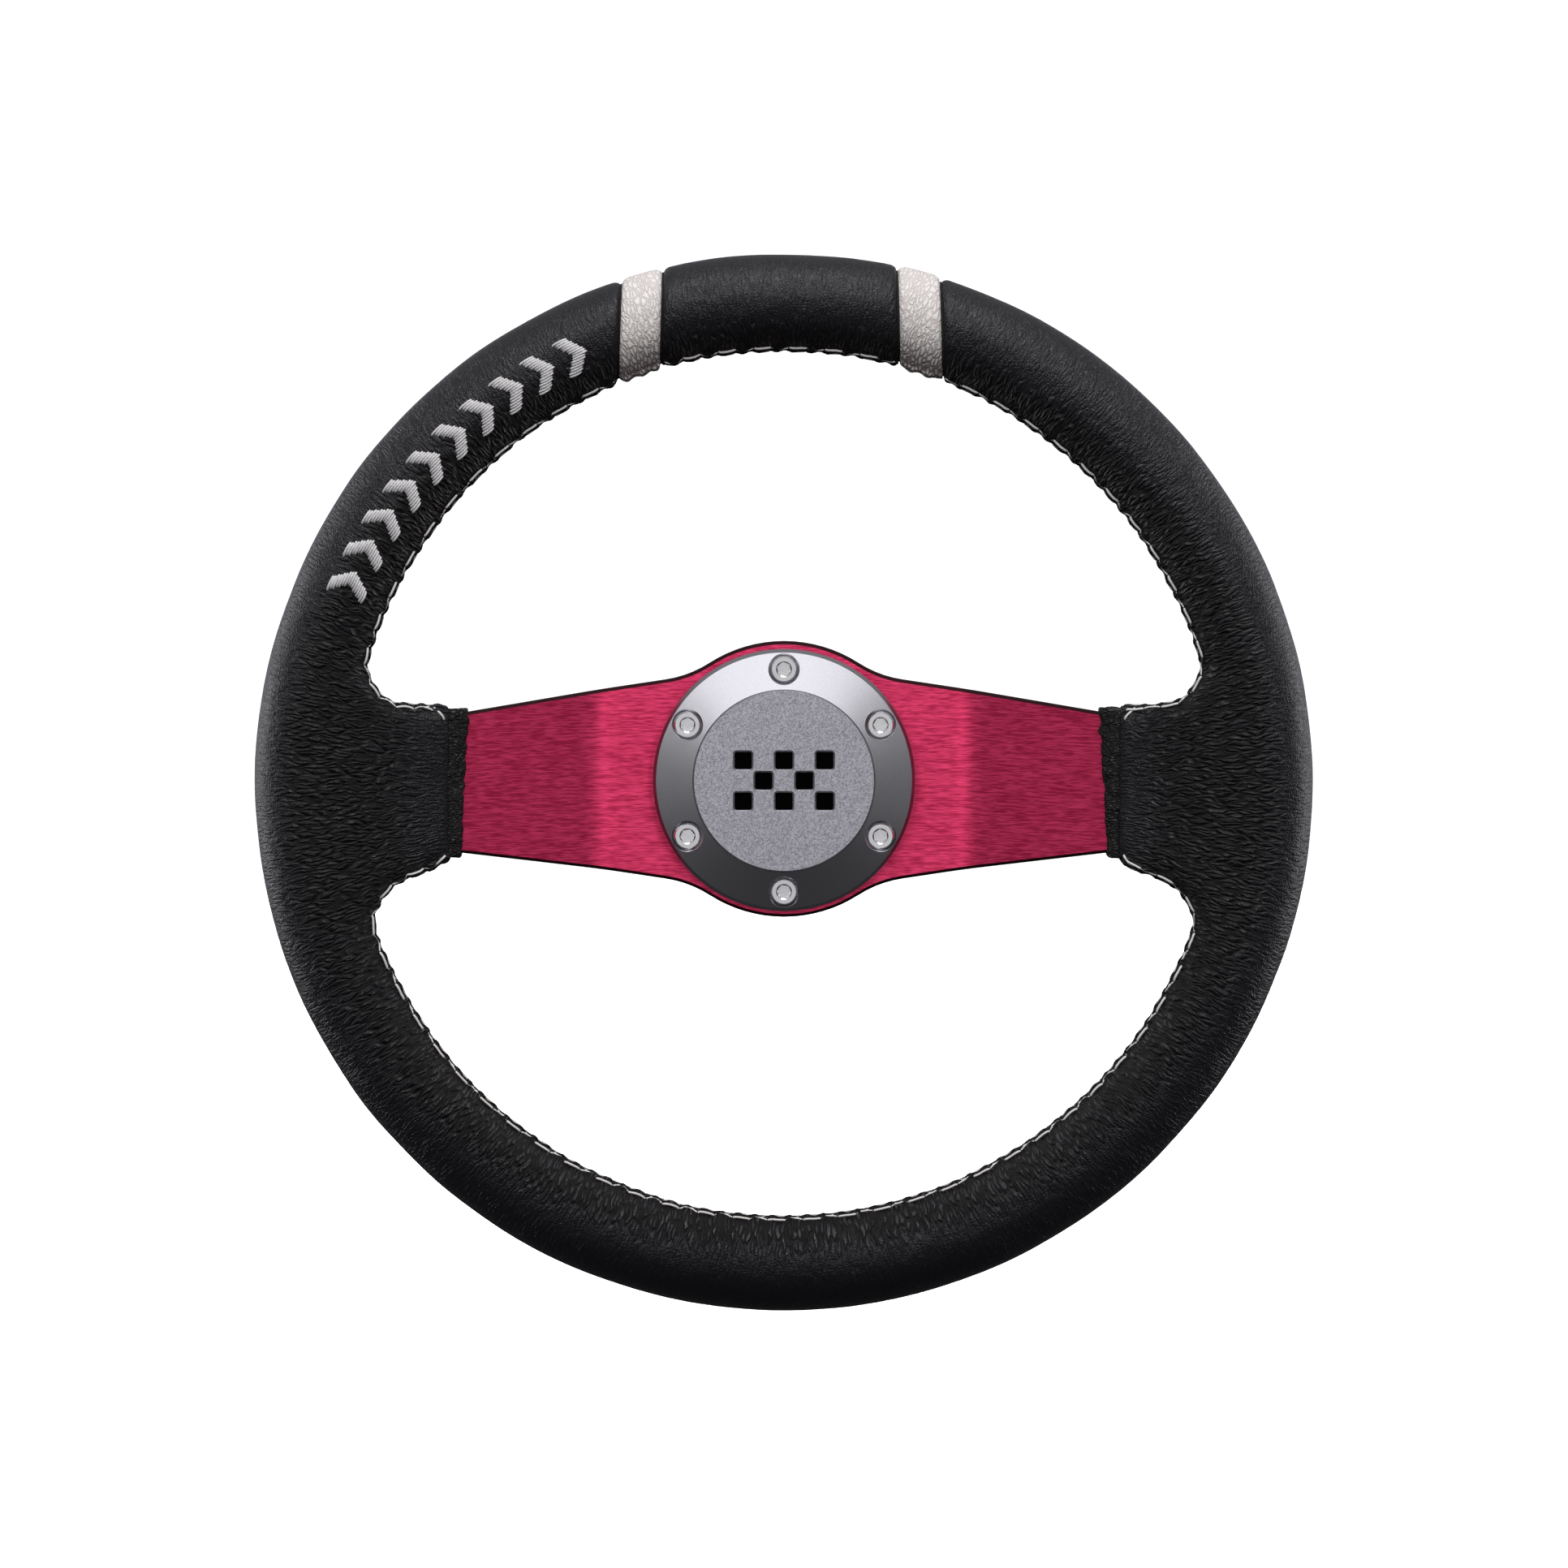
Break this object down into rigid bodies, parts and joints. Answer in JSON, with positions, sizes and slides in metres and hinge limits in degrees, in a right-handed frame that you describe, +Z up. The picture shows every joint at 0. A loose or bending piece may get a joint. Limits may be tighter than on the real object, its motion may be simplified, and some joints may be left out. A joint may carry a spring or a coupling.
{
  "type": "quick release steering wheel",
  "caption": "Round two-spoke motorsport steering wheel in wrapped leather, with a bolted hub and a ball-lock quick-release socket behind it.",
  "frame": {"origin": "on the steering axis, at the mouth of the splined socket that takes the column's hub", "axes": "+Y along the steering axis, from the driver towards the column; +Z up with the marker stripes at the top; +X to the driver's right"},
  "size_m": [0.33, 0.0935, 0.33],
  "materials": {
    "black_leather": "grained, semi-matt",
    "white_leather": "grained, semi-matt",
    "grip_foam": "moulded foam, hidden",
    "red_anodised": "brushed and anodised crimson",
    "satin_aluminium": "bead blasted and clear anodised",
    "bare_aluminium": "mill",
    "black_anodised": "turned and anodised black",
    "gloss_black": "polished",
    "zinc_steel": "bright zinc plated",
    "bare_steel": "ground and polished",
    "spring_steel": "oiled",
    "black_rubber": "matt"
  },
  "bodies": {
    "wheel": {"grip_leather": "black_leather", "top_leather": "black_leather", "stripe_left": "white_leather", "stripe_right": "white_leather", "cuff_left": "black_leather", "cuff_right": "black_leather", "rim_foam": "grip_foam", "rim_hoop": "bare_aluminium", "spoke_rivets": "bare_aluminium", "spoke_plate": "red_anodised", "hub_ring": "satin_aluminium", "centre_cap": "satin_aluminium", "badge_inlay": "gloss_black", "hub_bolts": "zinc_steel", "cap_screws": "zinc_steel", "quick_release_hub": "black_anodised", "collar_spring": "spring_steel", "retaining_ring": "spring_steel", "socket_seal": "black_rubber", "rattle_pad": "black_rubber"},
    "collar": {"release_collar": "red_anodised", "collar_sleeve": "bare_steel"},
    "ball_1": {"lock_ball_1": "bare_steel"},
    "ball_2": {"lock_ball_2": "bare_steel"},
    "ball_3": {"lock_ball_3": "bare_steel"},
    "ball_4": {"lock_ball_4": "bare_steel"},
    "ball_5": {"lock_ball_5": "bare_steel"},
    "ball_6": {"lock_ball_6": "bare_steel"}
  },
  "joints": [
    {"name": "collar_slide", "type": "slide", "parent": "wheel", "child": "collar", "axis": [0, -1, 0], "range_m": [0, 0.007], "stiffness_N_per_m": 1500, "springref_m": -0.008, "deforming": ["collar_spring"]},
    {"name": "ball_1_slide", "type": "slide", "parent": "wheel", "child": "ball_1", "axis": [0.866, 0, 0.5], "range_m": [0, 0.00175]},
    {"name": "ball_2_slide", "type": "slide", "parent": "wheel", "child": "ball_2", "axis": [0, 0, 1], "range_m": [0, 0.00175]},
    {"name": "ball_3_slide", "type": "slide", "parent": "wheel", "child": "ball_3", "axis": [-0.866, 0, 0.5], "range_m": [0, 0.00175]},
    {"name": "ball_4_slide", "type": "slide", "parent": "wheel", "child": "ball_4", "axis": [-0.866, 0, -0.5], "range_m": [0, 0.00175]},
    {"name": "ball_5_slide", "type": "slide", "parent": "wheel", "child": "ball_5", "axis": [0, 0, -1], "range_m": [0, 0.00175]},
    {"name": "ball_6_slide", "type": "slide", "parent": "wheel", "child": "ball_6", "axis": [0.866, 0, -0.5], "range_m": [0, 0.00175]}
  ],
  "couplings": [
    {"joint": "ball_1_slide", "follows": "collar_slide", "ratio": 0.25},
    {"joint": "ball_2_slide", "follows": "collar_slide", "ratio": 0.25},
    {"joint": "ball_3_slide", "follows": "collar_slide", "ratio": 0.25},
    {"joint": "ball_4_slide", "follows": "collar_slide", "ratio": 0.25},
    {"joint": "ball_5_slide", "follows": "collar_slide", "ratio": 0.25},
    {"joint": "ball_6_slide", "follows": "collar_slide", "ratio": 0.25}
  ]
}
